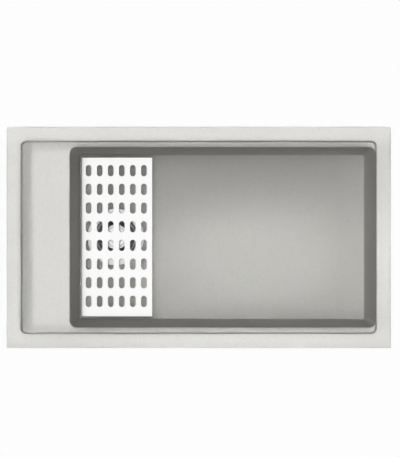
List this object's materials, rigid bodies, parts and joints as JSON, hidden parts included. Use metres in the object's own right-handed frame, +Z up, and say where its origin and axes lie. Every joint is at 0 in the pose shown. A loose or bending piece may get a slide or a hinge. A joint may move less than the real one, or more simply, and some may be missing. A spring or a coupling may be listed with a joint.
{
  "type": "kitchen sink",
  "caption": "Inset granite composite kitchen sink: stepped rim ledge, drafted bowl, slotted drain cover, lift-out basket strainer, tailpiece and swing-out worktop clips.",
  "frame": {"origin": "middle of the sink in plan, on the worktop plane that the rim's underside lies on", "axes": "+X along the sink's length toward the end away from the drain, +Y toward the back, +Z up"},
  "size_m": [0.75, 0.432, 0.3697],
  "materials": {
    "granite": "fine matte composite",
    "stainless": "satin",
    "polished_steel": "polished",
    "chrome": "bright plated",
    "zinc": "zinc plated",
    "brass": "machined",
    "rubber": "matte",
    "silicone": "satin",
    "foam": "closed-cell foam",
    "fibre": "pressed fibre",
    "white_plastic": "moulded"
  },
  "bodies": {
    "sink": {"sink_bowl": "granite", "rim_seal": "foam", "strainer_body": "stainless", "flange_gasket": "rubber", "under_gasket": "rubber", "friction_washer": "fibre", "locknut": "zinc", "tailpiece": "chrome", "tailpiece_washer": "white_plastic", "slip_nut": "chrome", "clip_bolts": "zinc", "clip_washers": "zinc", "clip_inserts": "brass"},
    "cover": {"drain_cover": "stainless", "drain_cover_feet": "silicone"},
    "basket": {"strainer_basket": "stainless", "basket_stopper": "rubber", "stopper_nut": "brass", "basket_stem": "polished_steel", "basket_retainer": "stainless", "basket_cap": "polished_steel"},
    "clip_front_left": {"clip_arm_front_left": "zinc"},
    "clip_front_middle": {"clip_arm_front_middle": "zinc"},
    "clip_front_right": {"clip_arm_front_right": "zinc"},
    "clip_back_left": {"clip_arm_back_left": "zinc"},
    "clip_back_middle": {"clip_arm_back_middle": "zinc"},
    "clip_back_right": {"clip_arm_back_right": "zinc"}
  },
  "joints": [
    {"name": "cover_lift", "type": "slide", "parent": "sink", "child": "cover", "axis": [0, 0, 1], "range_m": [0, 0.26]},
    {"name": "basket_lift", "type": "slide", "parent": "sink", "child": "basket", "axis": [0, 0, 1], "range_m": [0, 0.009]},
    {"name": "clip_front_left_swing", "type": "hinge", "parent": "sink", "child": "clip_front_left", "pos_m": [-0.3, -0.1908, -0.041], "axis": [0, 0, -1], "range_deg": [0, 90]},
    {"name": "clip_front_middle_swing", "type": "hinge", "parent": "sink", "child": "clip_front_middle", "pos_m": [0, -0.1908, -0.041], "axis": [0, 0, -1], "range_deg": [0, 90]},
    {"name": "clip_front_right_swing", "type": "hinge", "parent": "sink", "child": "clip_front_right", "pos_m": [0.3, -0.1908, -0.041], "axis": [0, 0, -1], "range_deg": [0, 90]},
    {"name": "clip_back_left_swing", "type": "hinge", "parent": "sink", "child": "clip_back_left", "pos_m": [-0.3, 0.1908, -0.041], "axis": [0, 0, 1], "range_deg": [0, 90]},
    {"name": "clip_back_middle_swing", "type": "hinge", "parent": "sink", "child": "clip_back_middle", "pos_m": [0, 0.1908, -0.041], "axis": [0, 0, 1], "range_deg": [0, 90]},
    {"name": "clip_back_right_swing", "type": "hinge", "parent": "sink", "child": "clip_back_right", "pos_m": [0.3, 0.1908, -0.041], "axis": [0, 0, 1], "range_deg": [0, 90]}
  ]
}
